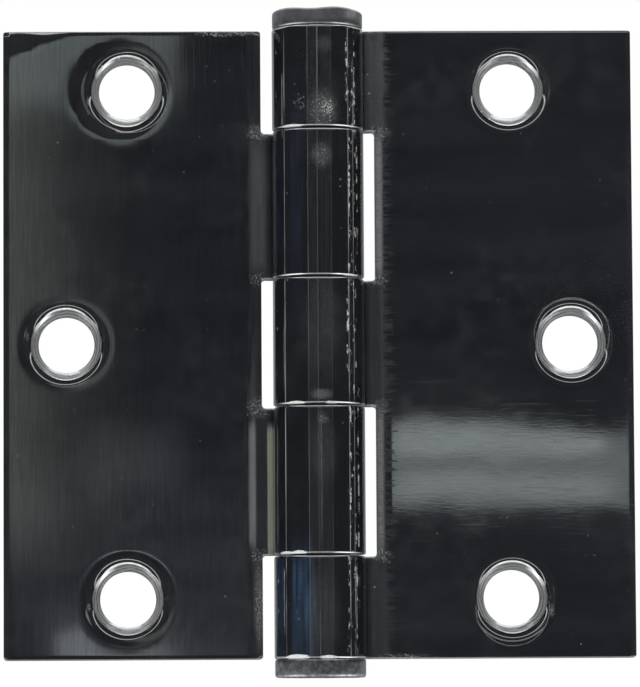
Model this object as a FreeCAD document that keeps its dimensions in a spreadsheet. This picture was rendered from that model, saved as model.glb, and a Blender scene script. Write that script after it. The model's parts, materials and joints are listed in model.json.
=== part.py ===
import FreeCAD, Part
import math
import os
import Sketcher

# Door hinge: a square-corner butt hinge, 3-1/2 by 3-1/2 inch, five knuckles, loose pin.
#
# The pin axis is Z and the origin lies on it at half height. The hinge is modelled folded out
# flat: the jamb leaf reaches out to +X, the door leaf to -X, and the countersunk faces look
# along -Y. Each leaf is one strip of sheet steel whose inner edge swings back in a long bend
# and is rolled round the pin, so that its cut end comes home against the front of the leaf.

doc = FreeCAD.newDocument("door_hinge")

drivingSizes = [
    ("leaf_height", 88.9, "height of both leaves"),
    ("leaf_reach", 44.45, "pin axis to the outer edge of a leaf"),
    ("leaf_thickness", 2.4, "sheet the leaves are rolled from"),
    ("face_setback", 0.8, "front face behind the pin axis, half the gap of the closed hinge"),
    ("corner_round", 0.6, "radius at the outer corners of a leaf"),
    ("bend_radius", 11.2, "front face where the sheet bends back to the barrel"),
    ("curl_slit", 0.2, "slit between the cut end of the roll and the leaf"),
    ("barrel_relief", 1.6, "barrel to the edge of the notch beside it"),
    ("end_knuckle", 14.5, "height of the top and the bottom knuckle"),
    ("door_knuckle", 20.95, "height of the second and the fourth knuckle"),
    ("knuckle_gap", 0.2, "play between two knuckles"),
    ("edge_round", 0.3, "rounding of the outline at the back and of the knuckle ends"),
    ("screw_radius", 3.95, "through hole for a screw"),
    ("countersink_radius", 5.65, "countersink at the front face"),
    ("countersink_angle", 82.0, "full angle of the countersink"),
    ("row_inset", 8.5, "centre of the top and bottom holes to the end of the leaf"),
    ("inner_hole_inset", 17.45, "centre of the top and bottom holes to the outer edge"),
    ("middle_hole_inset", 8.85, "centre of the middle hole to the outer edge"),
    ("pin_radius", 3.97, "shank of the pin"),
    ("pin_clearance", 0.08, "running clearance round the shank"),
    ("head_inset", 0.07, "rims of the head and of the cap inside the barrel"),
    ("head_height", 2.6, "thickness of the head and of the cap"),
    ("head_bevel", 0.45, "bevel at the rims of the head and of the cap"),
    ("tip_length", 3.2, "tapered tip of the pin"),
    ("tip_taper", 1.57, "how much narrower the pin is at the end of its tip"),
    ("spigot_length", 6.0, "stem of the plug, pressed into the bottom knuckle"),
    ("spigot_chamfer", 0.5, "lead-in of the stem"),
    ("tip_gap", 1.0, "tip of the pin to the stem of the plug"),
    ("punch_radius", 1.25, "hole in the plug for driving the pin out"),
]

sizes = doc.addObject("Spreadsheet::Sheet", "sizes")
for row, (alias, value, meaning) in enumerate(drivingSizes, start=1):
    sizes.set(f"A{row}", alias)
    sizes.set(f"B{row}", str(value))
    sizes.set(f"C{row}", meaning)
    sizes.setAlias(f"B{row}", alias)
doc.recompute()

# Formulas in the words of the sheet, shared by the expressions below.
halfHeight = "sizes.leaf_height / 2"
backFace = "(sizes.face_setback + sizes.leaf_thickness)"
boreRadius = "(sizes.pin_radius + sizes.pin_clearance)"
barrelRadius = f"({boreRadius} + sizes.leaf_thickness)"
notchEdge = f"({barrelRadius} + sizes.barrel_relief)"
headRadius = f"({barrelRadius} - sizes.head_inset)"
endSeam = f"({halfHeight} - sizes.end_knuckle)"
innerSeam = f"({endSeam} - sizes.door_knuckle)"
halfGap = "sizes.knuckle_gap / 2"
capEnd = f"({halfHeight} + sizes.head_height)"
spigotEnd = f"({halfHeight} - sizes.spigot_length)"
pinEnd = f"({spigotEnd} - sizes.tip_gap)"
beyond = "5"  # how far a cut runs past the metal, mm


def valueOf(formula):
    """The number a formula gives with the sizes as they stand."""
    return float(sizes.evalExpression(formula.replace("sizes.", "")))


def originPlane(body, role):
    for feature in body.Origin.OriginFeatures:
        if feature.Role == role:
            return feature
    raise ValueError(f"{body.Name} has no {role}")


def newBody(name):
    body = doc.addObject("PartDesign::Body", name)
    body.Label = name
    return body


def newSketch(body, name, plane):
    sketch = body.newObject("Sketcher::SketchObject", name)
    sketch.AttachmentSupport = [(originPlane(body, plane), "")]
    sketch.MapMode = "FlatFace"
    return sketch


def bind(sketch, formula, kind, *where):
    """Add one dimension to a sketch and tie it to the sheet."""
    index = sketch.addConstraint(Sketcher.Constraint(kind, *where, valueOf(formula)))
    sketch.setExpression(f"Constraints[{index}]", formula)


def place(sketch, axis, geometry, point, formula, sign=1):
    """Dimension a point from the origin, along X or Y of the sketch, on the side sign gives."""
    ends = [(-1, 1), (geometry, point)]
    if sign < 0:
        ends.reverse()
    bind(sketch, formula, f"Distance{axis}", *ends[0], *ends[1])


def join(sketch, kind, *where):
    sketch.addConstraint(Sketcher.Constraint(kind, *where))


def lineThrough(sketch, points):
    """Draw a closed outline of straight lines, square ones kept square; returns its lines."""
    vectors = [FreeCAD.Vector(x, y, 0) for x, y in points]
    lines = []
    for start, end in zip(vectors, vectors[1:] + vectors[:1]):
        lines.append(sketch.addGeometry(Part.LineSegment(start, end), False))
    for here, following in zip(lines, lines[1:] + lines[:1]):
        join(sketch, "Coincident", here, 2, following, 1)
    for line, start, end in zip(lines, vectors, vectors[1:] + vectors[:1]):
        if abs(start.x - end.x) < 1e-9:
            join(sketch, "Vertical", line)
        elif abs(start.y - end.y) < 1e-9:
            join(sketch, "Horizontal", line)
    return lines


def drawRectangle(sketch, left, right, low, high):
    """A rectangle whose four sides are (sign, formula) pairs from the origin."""
    x1, x2, y1, y2 = [sign * valueOf(formula) for sign, formula in (left, right, low, high)]
    lines = lineThrough(sketch, [(x1, y1), (x2, y1), (x2, y2), (x1, y2)])
    place(sketch, "X", lines[0], 1, left[1], left[0])
    place(sketch, "X", lines[0], 2, right[1], right[0])
    place(sketch, "Y", lines[0], 1, low[1], low[0])
    place(sketch, "Y", lines[2], 1, high[1], high[0])


def edgeNames(feature, wanted):
    """Names of the edges of a feature for which wanted(edge) is true."""
    names = [f"Edge{number}" for number, edge in enumerate(feature.Shape.Edges, start=1) if wanted(edge)]
    if not names:
        raise ValueError(f"no edge of {feature.Name} matches")
    return names


def addFillet(body, name, wanted, formula):
    base = body.Tip
    fillet = body.newObject("PartDesign::Fillet", name)
    fillet.Base = (base, edgeNames(base, wanted))
    fillet.setExpression("Radius", formula)
    doc.recompute()


def drawRolledSheet(sketch):
    """Cross-section of a leaf: flat sheet, bend, and the roll round the pin."""
    bore = valueOf(boreRadius)
    barrel = valueOf(barrelRadius)
    front = valueOf("sizes.face_setback")
    back = valueOf(backFace)
    reach = valueOf("sizes.leaf_reach")
    frontBend = valueOf("sizes.bend_radius")
    backBend = frontBend - valueOf("sizes.leaf_thickness")
    slitBend = frontBend + valueOf("sizes.curl_slit")

    # The bend and the roll touch where the line between their centres meets them.
    centres = frontBend + bore
    bendY = front + frontBend
    bendX = math.sqrt(centres**2 - bendY**2)
    meet = math.atan2(bendY, bendX)
    opening = math.acos((centres**2 + barrel**2 - slitBend**2) / (2 * centres * barrel))
    rollEnd = 2 * math.pi + meet - opening

    def arc(x, y, radius, start, end):
        circle = Part.Circle(FreeCAD.Vector(x, y, 0), FreeCAD.Vector(0, 0, 1), radius)
        return sketch.addGeometry(Part.ArcOfCircle(circle, start, end), False)

    def line(x1, y1, x2, y2):
        ends = FreeCAD.Vector(x1, y1, 0), FreeCAD.Vector(x2, y2, 0)
        return sketch.addGeometry(Part.LineSegment(*ends), False)

    across, up = math.cos(rollEnd), math.sin(rollEnd)
    backLine = line(reach, back, bendX, back)
    backArc = arc(bendX, bendY, backBend, math.pi + meet, 1.5 * math.pi)
    outside = arc(0, 0, barrel, meet, rollEnd)
    cutEnd = line(barrel * across, barrel * up, bore * across, bore * up)
    inside = arc(0, 0, bore, meet, rollEnd)
    frontArc = arc(bendX, bendY, frontBend, math.pi + meet, 1.5 * math.pi)
    frontLine = line(bendX, front, reach, front)
    outerEdge = line(reach, front, reach, back)
    slitCircle = Part.Circle(FreeCAD.Vector(bendX, bendY, 0), FreeCAD.Vector(0, 0, 1), slitBend)
    slitLine = sketch.addGeometry(slitCircle, True)

    join(sketch, "Coincident", outside, 3, -1, 1)
    join(sketch, "Coincident", inside, 3, -1, 1)
    join(sketch, "Coincident", backArc, 3, frontArc, 3)
    join(sketch, "Coincident", slitLine, 3, frontArc, 3)
    join(sketch, "Tangent", backLine, 2, backArc, 2)
    join(sketch, "Tangent", backArc, 1, outside, 1)
    join(sketch, "Coincident", outside, 2, cutEnd, 1)
    join(sketch, "Coincident", cutEnd, 2, inside, 2)
    join(sketch, "Tangent", inside, 1, frontArc, 1)
    join(sketch, "Tangent", frontArc, 2, frontLine, 1)
    join(sketch, "Coincident", frontLine, 2, outerEdge, 1)
    join(sketch, "Coincident", outerEdge, 2, backLine, 1)
    join(sketch, "Horizontal", backLine)
    join(sketch, "Horizontal", frontLine)
    join(sketch, "Vertical", outerEdge)
    join(sketch, "PointOnObject", -1, 1, cutEnd)
    join(sketch, "PointOnObject", outside, 2, slitLine)
    bind(sketch, boreRadius, "Radius", inside)
    bind(sketch, "sizes.bend_radius", "Radius", frontArc)
    bind(sketch, "sizes.bend_radius + sizes.curl_slit", "Radius", slitLine)
    place(sketch, "Y", frontLine, 1, "sizes.face_setback")
    place(sketch, "Y", backLine, 1, backFace)
    place(sketch, "X", outerEdge, 1, "sizes.leaf_reach")


def makeLeaf(name, notches):
    """A leaf that reaches to +X. notches lists the (low, high) heights cut away for the
    knuckles of the other leaf, each height a (sign, formula) pair."""
    body = newBody(name)

    section = newSketch(body, f"{name}_section", "XY_Plane")
    drawRolledSheet(section)
    roll = body.newObject("PartDesign::Pad", f"{name}_roll")
    roll.Profile = section
    roll.Midplane = True
    roll.setExpression("Length", "sizes.leaf_height")
    doc.recompute()
    solid = roll.Shape.Volume

    outline = newSketch(body, f"{name}_notch_outline", "XZ_Plane")
    for low, high in notches:
        drawRectangle(outline, (-1, f"{barrelRadius} + {beyond}"), (1, notchEdge), low, high)
    cut = body.newObject("PartDesign::Pocket", f"{name}_notches")
    cut.Profile = outline
    cut.Type = "ThroughAll"
    cut.Midplane = True
    doc.recompute()
    if cut.Shape.Volume > 0.99 * solid:
        raise ValueError(f"the notches of {name} cut nothing")
    solid = cut.Shape.Volume

    centres = newSketch(body, f"{name}_hole_centres", "XZ_Plane")
    centres.setExpression("AttachmentOffset.Base.z", "-sizes.face_setback")
    inner = "sizes.leaf_reach - sizes.inner_hole_inset"
    outer = "sizes.leaf_reach - sizes.middle_hole_inset"
    rowHeight = f"{halfHeight} - sizes.row_inset"
    for across, sign in ((inner, 1), (outer, 0), (inner, -1)):
        spot = FreeCAD.Vector(valueOf(across), sign * valueOf(rowHeight), 0)
        circle = Part.Circle(spot, FreeCAD.Vector(0, 0, 1), valueOf("sizes.screw_radius"))
        drawn = centres.addGeometry(circle, False)
        bind(centres, "sizes.screw_radius", "Radius", drawn)
        place(centres, "X", drawn, 3, across)
        if sign:
            place(centres, "Y", drawn, 3, rowHeight, sign)
        else:
            join(centres, "PointOnObject", drawn, 3, -1)
    doc.recompute()
    holes = body.newObject("PartDesign::Hole", f"{name}_screw_holes")
    holes.Profile = centres
    doc.recompute()
    holes.DepthType = "ThroughAll"
    holes.ThreadType = "None"
    holes.HoleCutType = "Countersink"
    holes.setExpression("Diameter", "2 * sizes.screw_radius")
    holes.setExpression("HoleCutDiameter", "2 * sizes.countersink_radius")
    holes.setExpression("HoleCutCountersinkAngle", "sizes.countersink_angle")
    doc.recompute()
    if holes.Shape.Volume > solid - 1:
        raise ValueError(f"the holes of {name} cut nothing")

    reach = valueOf("sizes.leaf_reach")

    def isCorner(edge):
        ends = [vertex.Point for vertex in edge.Vertexes]
        return (len(ends) == 2 and all(abs(point.x - reach) < 1e-4 for point in ends)
                and abs(ends[0].y - ends[1].y) > 0.1)

    addFillet(body, f"{name}_corners", isCorner, "sizes.corner_round")

    barrel = valueOf(barrelRadius)

    def isKnuckleRim(edge):
        curve = edge.Curve
        return (isinstance(curve, Part.Circle) and abs(curve.Radius - barrel) < 1e-4
                and abs(curve.Axis.z) > 0.99 and math.hypot(curve.Center.x, curve.Center.y) < 1e-4)

    addFillet(body, f"{name}_knuckle_ends", isKnuckleRim, "sizes.edge_round")
    return body


def makeTurned(name, corners):
    """A turned piece: its half section goes round the pin axis. corners are
    (radius, (sign, height)) with formulas for the radius and the height."""
    body = newBody(name)
    section = newSketch(body, f"{name}_section", "XZ_Plane")
    points = [(valueOf(radius), sign * valueOf(height)) for radius, (sign, height) in corners]
    lines = lineThrough(section, points)
    before = points[-1:] + points[:-1]
    for line, (radius, (sign, height)), point, last in zip(lines, corners, points, before):
        if abs(point[0] - last[0]) > 1e-9:
            if radius == "0":
                join(section, "PointOnObject", line, 1, -2)
            else:
                place(section, "X", line, 1, radius)
        if abs(point[1] - last[1]) > 1e-9:
            place(section, "Y", line, 1, height, sign)
    turned = body.newObject("PartDesign::Revolution", f"{name}_turned")
    turned.Profile = section
    turned.ReferenceAxis = (section, ["V_Axis"])
    turned.Angle = 360
    doc.recompute()
    return body


def up(formula):
    return 1, formula


def down(formula):
    return -1, formula


makeLeaf("jamb_leaf", [
    (up(f"{innerSeam} - {halfGap}"), up(f"{endSeam} + {halfGap}")),
    (down(f"{endSeam} + {halfGap}"), down(f"{innerSeam} - {halfGap}")),
])

doorLeaf = makeLeaf("door_leaf", [
    (up(f"{endSeam} - {halfGap}"), up(f"{halfHeight} + {beyond}")),
    (down(f"{innerSeam} + {halfGap}"), up(f"{innerSeam} + {halfGap}")),
    (down(f"{halfHeight} + {beyond}"), down(f"{endSeam} - {halfGap}")),
])
# The same strip turned half round about Y, so that it reaches to -X and still faces -Y.
doorLeaf.Placement = FreeCAD.Placement(FreeCAD.Vector(0, 0, 0), FreeCAD.Vector(0, 1, 0), 180)

makeTurned("hinge_pin", [
    ("0", up(capEnd)),
    (f"{headRadius} - sizes.head_bevel", up(capEnd)),
    (headRadius, up(f"{capEnd} - sizes.head_bevel")),
    (headRadius, up(f"{halfHeight} + sizes.head_bevel")),
    (f"{headRadius} - sizes.head_bevel", up(halfHeight)),
    ("sizes.pin_radius", up(halfHeight)),
    ("sizes.pin_radius", down(f"{pinEnd} - sizes.tip_length")),
    ("sizes.pin_radius - sizes.tip_taper", down(pinEnd)),
    ("0", down(pinEnd)),
])

makeTurned("bottom_plug", [
    ("sizes.punch_radius", down(spigotEnd)),
    (f"{boreRadius} - sizes.spigot_chamfer", down(spigotEnd)),
    (boreRadius, down(f"{spigotEnd} + sizes.spigot_chamfer")),
    (boreRadius, down(halfHeight)),
    (f"{headRadius} - sizes.head_bevel", down(halfHeight)),
    (headRadius, down(f"{halfHeight} + sizes.head_bevel")),
    (headRadius, down(f"{capEnd} - sizes.head_bevel")),
    (f"{headRadius} - sizes.head_bevel", down(capEnd)),
    ("sizes.punch_radius", down(capEnd)),
])

doc.recompute()
for feature in doc.Objects:
    if "Invalid" in feature.State or "Error" in feature.State:
        raise ValueError(f"{feature.Name} failed: {feature.State}")

pieces = [piece for piece in doc.Objects if piece.TypeId == "PartDesign::Body"]
for piece in pieces:
    shape = piece.Shape
    if shape.isNull() or not shape.isValid() or len(shape.Solids) != 1:
        raise ValueError(f"{piece.Label} is not one valid solid")

os.makedirs("parts", exist_ok=True)
for piece in pieces:
    piece.Shape.exportStep(f"parts/{piece.Label}.step")
    print(f"{piece.Label}: {piece.Shape.Volume / 1000:.3f} cm3, {len(piece.Shape.Faces)} faces")
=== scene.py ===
import bmesh
import bpy
import json
import math
from mathutils import Matrix, Vector, noise


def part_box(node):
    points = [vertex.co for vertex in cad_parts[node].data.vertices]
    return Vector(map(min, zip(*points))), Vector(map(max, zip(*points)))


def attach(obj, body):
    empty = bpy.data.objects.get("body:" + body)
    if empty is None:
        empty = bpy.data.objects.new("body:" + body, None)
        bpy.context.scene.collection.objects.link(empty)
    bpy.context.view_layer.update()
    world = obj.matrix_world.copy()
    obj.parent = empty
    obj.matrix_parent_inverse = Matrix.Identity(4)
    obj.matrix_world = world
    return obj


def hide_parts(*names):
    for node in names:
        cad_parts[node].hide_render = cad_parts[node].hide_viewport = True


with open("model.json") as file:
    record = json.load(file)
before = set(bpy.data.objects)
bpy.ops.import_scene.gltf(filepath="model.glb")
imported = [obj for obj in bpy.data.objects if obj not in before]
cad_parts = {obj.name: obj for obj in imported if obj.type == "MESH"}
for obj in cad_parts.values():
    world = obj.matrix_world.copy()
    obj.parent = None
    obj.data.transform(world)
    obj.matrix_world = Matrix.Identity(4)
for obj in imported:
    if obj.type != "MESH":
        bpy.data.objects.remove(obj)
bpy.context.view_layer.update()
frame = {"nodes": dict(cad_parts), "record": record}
mm = 0.001
record = frame["record"]
mounts = {mount["name"]: mount for mount in record["mounts"]}
leafLow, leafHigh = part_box("jamb_leaf")
pinLow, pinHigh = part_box("hinge_pin")
plugLow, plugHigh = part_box("bottom_plug")
reach = leafHigh.x / mm
halfHeight = leafHigh.z / mm
barrelRadius = -leafLow.y / mm
print("frame loaded:", len(frame["nodes"]), "nodes")


# Node helpers

def feed(tree, socket, value):
    if isinstance(value, bpy.types.NodeSocket):
        tree.links.new(value, socket)
    elif value is not None:
        socket.default_value = value


def addMath(tree, operation, first, second=None, third=None):
    node = tree.nodes.new("ShaderNodeMath")
    node.operation = operation
    for socket, value in zip(node.inputs, (first, second, third)):
        feed(tree, socket, value)
    return node.outputs[0]


def addRange(tree, value, low, high, toLow=0.0, toHigh=1.0):
    node = tree.nodes.new("ShaderNodeMapRange")
    node.interpolation_type = "SMOOTHSTEP"
    for name, given in (("Value", value), ("From Min", low), ("From Max", high),
                        ("To Min", toLow), ("To Max", toHigh)):
        feed(tree, node.inputs[name], given)
    return node.outputs["Result"]


def addWindow(tree, value, low, high, soft):
    rise = addRange(tree, value, low - soft, low + soft)
    fall = addRange(tree, value, high - soft, high + soft, 1.0, 0.0)
    return addMath(tree, "MULTIPLY", rise, fall)


def addVector(tree, operation, first, second=None, scale=None):
    node = tree.nodes.new("ShaderNodeVectorMath")
    node.operation = operation
    feed(tree, node.inputs[0], first)
    feed(tree, node.inputs[1], second)
    if scale is not None:
        feed(tree, node.inputs["Scale"], scale)
    return node.outputs["Value"] if operation == "LENGTH" else node.outputs[0]


def addNoise(tree, place, scale, stretch=(1, 1, 1), detail=2.0, rough=0.5):
    stretched = addVector(tree, "MULTIPLY", place, stretch)
    node = tree.nodes.new("ShaderNodeTexNoise")
    feed(tree, node.inputs["Vector"], stretched)
    node.inputs["Scale"].default_value = scale
    node.inputs["Detail"].default_value = detail
    node.inputs["Roughness"].default_value = rough
    return node.outputs["Fac"]


def addMix(tree, factor, first, second):
    node = tree.nodes.new("ShaderNodeMix")
    node.data_type = "RGBA"
    feed(tree, node.inputs[0], factor)
    feed(tree, node.inputs[6], first)
    feed(tree, node.inputs[7], second)
    return node.outputs[2]


# Studio: a pale room, with dark cards round the front of the plate

studio = {
    "cardSide": 103.0,          # the cards reach this far round, degrees from straight ahead
    "cardTop": 80.0,            # and this far up and down
    "cardBottom": -72.0,
    "wingSide": 142.0,          # low side cards level with the hinge
    "wingTop": 12.0,
    "wingBottom": -3.0,
    "cardSoft": (2.0, 5.0),     # soft edge of the cards, round and up, degrees
    "wingSoft": (3.0, 1.5),
    "cardTone": (0.020, 0.0212, 0.0240),
    "topTone": 1.7,
    "sideTone": 0.42,
    "floorGlow": 0.5,
    "lowTurn": (-60.0, -15.0),  # elevations where the room goes from floor glow to side tone
    "highTurn": (18.0, 60.0),   # and from side tone to top tone
    "backTone": 0.25,           # what is left of the room straight behind
    "backTurn": (158.0, 172.0),
    "zenithTurn": (55.0, 70.0), # above this the room stays bright behind too
    "cloudStretch": (0.12, 2.5, 1.0),
    "cloudRange": (0.33, 0.67),
    # light let through or caught by the cards: azimuth from, to, soft,
    # elevation from, to, soft, colour, unevenness
    "glows": (
        # strips above, below and low at the sides, caught by rounded edges
        (-103.0, 103.0, 4.0, 50.0, 63.0, 2.0, (1.7, 1.7, 1.7), 0.5),
        (-42.0, 42.0, 16.0, 13.0, 15.8, 0.7, (0.8, 0.8, 0.8), 0.5),
        (-42.0, 42.0, 16.0, -17.0, -14.2, 0.7, (0.8, 0.8, 0.8), 0.5),
        (-103.0, 103.0, 4.0, -48.0, -34.0, 2.5, (1.5, 1.5, 1.5), 0.5),
        (45.0, 112.0, 8.0, -62.0, -17.0, 7.0, (1.2, 1.2, 1.2), 0.0),
        (-112.0, -45.0, 8.0, -62.0, -17.0, 7.0, (1.2, 1.2, 1.2), 0.0),
        # haze and thin upright lines along the barrel, darker straight ahead for the leaves
        (-28.0, 33.0, 1.2, -30, 34, 4, (0.011, 0.0115, 0.012), 0.6),
        (-3.7, 5.6, 0.3, -3.0, 9.0, 1.0, (-0.0075, -0.008, -0.0075), 0.0),
        (-27.8, -26.4, 0.6, -30, 34, 4, (0.12, 0.123, 0.13), 0.7),
        (32.2, 33.2, 0.6, -30, 34, 4, (0.06, 0.062, 0.067), 0.9),
        (80.5, 82.5, 1.0, -30, 34, 4, (0.35, 0.35, 0.34), 1.0),
        (-96.5, -95.0, 0.8, -30, 34, 4, (0.5, 0.51, 0.52), 1.0),
        # broad band on the jamb leaf
        (2.0, 5.4, 0.15, 2.49, 3.37, 0.035, (0.150, 0.167, 0.164), 0.0),
        (2.0, 4.6, 0.15, 3.10, 3.37, 0.05, (0.152, 0.167, 0.164), 0.0),
        (2.0, 3.5, 0.35, 3.37, 3.48, 0.04, (0.27, 0.295, 0.29), 0.0),
        (2.1, 4.7, 0.3, 2.60, 2.88, 0.09, (0.122, 0.134, 0.132), 0.0),
        # faint level haze, then patches on the door leaf
        (-28.0, 33.0, 1.2, -0.6, 2.3, 0.4, (0.0045, 0.0045, 0.005), 0.6),
        (-4.0, -2.0, 0.4, 2.0, 8.7, 0.35, (0.052, 0.055, 0.050), 0.0),
        (-4.0, -1.35, 0.65, 2.0, 8.7, 0.5, (0.023, 0.0245, 0.0215), 0.0),
        (-3.6, -0.32, 0.14, 7.2, 8.8, 0.25, (0.080, 0.094, 0.092), 0.0),
        (-1.75, -0.34, 0.14, 7.6, 8.8, 0.2, (0.036, 0.040, 0.040), 0.0),
        (-1.5, -0.35, 0.32, 2.7, 3.52, 0.2, (0.036, 0.039, 0.040), 0.0),
        (-3.0, 0.6, 0.4, 0.7, 2.7, 0.4, (0.014, 0.015, 0.016), 0.0),
        (-1.9, -0.42, 0.08, 0.82, 1.38, 0.06, (0.028, 0.029, 0.030), 0.0),
        (-1.74, -1.32, 0.10, 0.62, 1.10, 0.07, (0.18, 0.19, 0.195), 0.0),
        (-1.42, -0.5, 0.12, 0.3, 0.84, 0.05, (0.20, 0.21, 0.215), 0.0),
        (-1.0, 0.5, 0.2, 0.3, 0.9, 0.08, (0.028, 0.029, 0.030), 0.0),
        # blue tint on the left of the barrel
        (-76.0, -17.0, 10.0, 1.1, 1.95, 0.3, (0.021, 0.043, 0.083), 0.85),
        (-76.0, -17.0, 10.0, 0.3, 1.2, 0.3, (0.010, 0.020, 0.036), 0.85),
        (-75.0, -40.0, 10.0, 5.0, 7.2, 0.6, (0.004, 0.007, 0.016), 0.85),
    ),
    "floorTone": (0.86, 0.86, 0.855),
    "floorShade": 0.97,         # darkest part of the floor against the lightest
    "floorCloud": 3.0,
    "floorRough": 0.85,
    "floorHalf": 1.6,           # half its side, metres
    "floorCells": 24,
    "floorDrop": 52.0,          # floor below the plug, mm
}


def makeSurround():
    world = bpy.data.worlds.new("studio")
    bpy.context.scene.world = world
    world.use_nodes = True
    world.cycles.sampling_method = "NONE"
    tree = world.node_tree
    tree.nodes.clear()
    direction = tree.nodes.new("ShaderNodeTexCoord").outputs["Generated"]
    split = tree.nodes.new("ShaderNodeSeparateXYZ")
    tree.links.new(direction, split.inputs[0])
    ahead = addMath(tree, "MULTIPLY", split.outputs["Y"], -1.0)
    azimuth = addMath(tree, "DEGREES", addMath(tree, "ARCTAN2", split.outputs["X"], ahead))
    elevation = addMath(tree, "DEGREES", addMath(tree, "ARCSINE", split.outputs["Z"]))

    side, wing = studio["cardSide"], studio["wingSide"]
    softSide, softHeight = studio["cardSoft"]
    card = addMath(tree, "MULTIPLY", addWindow(tree, azimuth, -side, side, softSide),
                   addWindow(tree, elevation, studio["cardBottom"], studio["cardTop"], softHeight))
    softSide, softHeight = studio["wingSoft"]
    wings = addMath(tree, "MULTIPLY", addWindow(tree, azimuth, -wing, wing, softSide),
                    addWindow(tree, elevation, studio["wingBottom"], studio["wingTop"], softHeight))
    card = addMath(tree, "MAXIMUM", card, wings)
    low = addRange(tree, elevation, *studio["lowTurn"], studio["floorGlow"], studio["sideTone"])
    level = addRange(tree, elevation, *studio["highTurn"], low, studio["topTone"])
    away = addRange(tree, addMath(tree, "ABSOLUTE", azimuth), *studio["backTurn"], 1.0, studio["backTone"])
    away = addMath(tree, "MAXIMUM", away, addRange(tree, elevation, *studio["zenithTurn"]))
    room = addMath(tree, "MULTIPLY", addMath(tree, "SUBTRACT", 1.0, card),
                   addMath(tree, "MULTIPLY", level, away))
    light = addVector(tree, "SCALE", (1.0, 1.0, 1.0), scale=room)
    light = addVector(tree, "ADD", light, studio["cardTone"])
    spread = tree.nodes.new("ShaderNodeCombineXYZ")
    tree.links.new(azimuth, spread.inputs[0])
    tree.links.new(elevation, spread.inputs[1])
    cloud = addNoise(tree, spread.outputs[0], 1.0, studio["cloudStretch"], detail=4.0, rough=0.6)
    for fromAz, toAz, softAz, fromEl, toEl, softEl, colour, uneven in studio["glows"]:
        mask = addMath(tree, "MULTIPLY", addWindow(tree, azimuth, fromAz, toAz, softAz),
                       addWindow(tree, elevation, fromEl, toEl, softEl))
        if uneven:
            patches = addRange(tree, cloud, *studio["cloudRange"], 1 - uneven, 1 + uneven)
            mask = addMath(tree, "MULTIPLY", mask, patches)
        light = addVector(tree, "ADD", light, addVector(tree, "SCALE", colour, scale=mask))

    glossy = tree.nodes.new("ShaderNodeLightPath").outputs["Is Glossy Ray"]
    shown = addMix(tree, glossy, (1.0, 1.0, 1.0, 1.0), light)
    background = tree.nodes.new("ShaderNodeBackground")
    tree.links.new(shown, background.inputs["Color"])
    output = tree.nodes.new("ShaderNodeOutputWorld")
    tree.links.new(background.outputs[0], output.inputs["Surface"])


softbox = {
    "place": (0.0, -0.15, 0.9),     # metres; it looks at the middle of the hinge
    "side": 0.9,
    "power": 6.0,
}


def addSoftbox():
    data = bpy.data.lights.new("softboxTop", "AREA")
    data.shape = "RECTANGLE"
    data.size = data.size_y = softbox["side"]
    data.energy = softbox["power"]
    lamp = bpy.data.objects.new("softboxTop", data)
    bpy.context.scene.collection.objects.link(lamp)
    lamp.location = softbox["place"]
    lamp.rotation_euler = (-Vector(softbox["place"])).to_track_quat("-Z", "Y").to_euler()
    lamp.visible_glossy = False
    lamp.visible_camera = False


def makeFloor():
    mesh = bmesh.new()
    cells = studio["floorCells"]
    bmesh.ops.create_grid(mesh, x_segments=cells, y_segments=cells, size=studio["floorHalf"])
    data = bpy.data.meshes.new("floor")
    mesh.to_mesh(data)
    mesh.free()
    floor = bpy.data.objects.new("floor", data)
    floor.location.z = plugLow.z - studio["floorDrop"] * mm
    bpy.context.scene.collection.objects.link(floor)
    material = bpy.data.materials.new("paleFloor")
    material.use_nodes = True
    tree = material.node_tree
    shader = tree.nodes["Principled BSDF"]
    place = tree.nodes.new("ShaderNodeTexCoord").outputs["Object"]
    tone = studio["floorTone"]
    shade = [studio["floorShade"] * part for part in tone]
    cloud = addNoise(tree, place, studio["floorCloud"], detail=3.0)
    tree.links.new(addMix(tree, cloud, (*tone, 1.0), (*shade, 1.0)), shader.inputs["Base Color"])
    shader.inputs["Roughness"].default_value = studio["floorRough"]
    floor.data.materials.append(material)
    floor.visible_glossy = False


cameraLook = {
    "distance": 693.2,          # mm from the aim point
    "azimuth": 1.27,            # degrees
    "elevation": -4.42,         # below the hinge, looking slightly up
    "roll": -0.33,
    "aimX": 0.16,               # mm from the middle of the hinge
    "aimZ": -0.06,
    "lens": 257.8,
    "sensor": 36.0,
    "nearest": 0.01,            # metres
    "farthest": 50.0,
}


def makeCamera():
    azimuth = math.radians(cameraLook["azimuth"])
    elevation = math.radians(cameraLook["elevation"])
    roll = math.radians(cameraLook["roll"])
    forward = Vector((math.sin(azimuth) * math.cos(elevation),
                      math.cos(azimuth) * math.cos(elevation), -math.sin(elevation)))
    level = Vector((math.cos(azimuth), -math.sin(azimuth), 0.0))
    upright = level.cross(forward)
    right = math.cos(roll) * level + math.sin(roll) * upright
    above = -math.sin(roll) * level + math.cos(roll) * upright
    data = bpy.data.cameras.new("camera")
    data.lens = cameraLook["lens"]
    data.sensor_width = cameraLook["sensor"]
    data.clip_start = cameraLook["nearest"]
    data.clip_end = cameraLook["farthest"]
    camera = bpy.data.objects.new("camera", data)
    bpy.context.scene.collection.objects.link(camera)
    aim = Vector((cameraLook["aimX"] * mm, 0.0, cameraLook["aimZ"] * mm))
    turned = Matrix((right, above, -forward)).transposed().to_4x4()
    camera.matrix_world = Matrix.Translation(aim - forward * cameraLook["distance"] * mm) @ turned
    bpy.context.scene.camera = camera


# Chrome plate: what all the pieces share, in mm where it is a length

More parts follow.
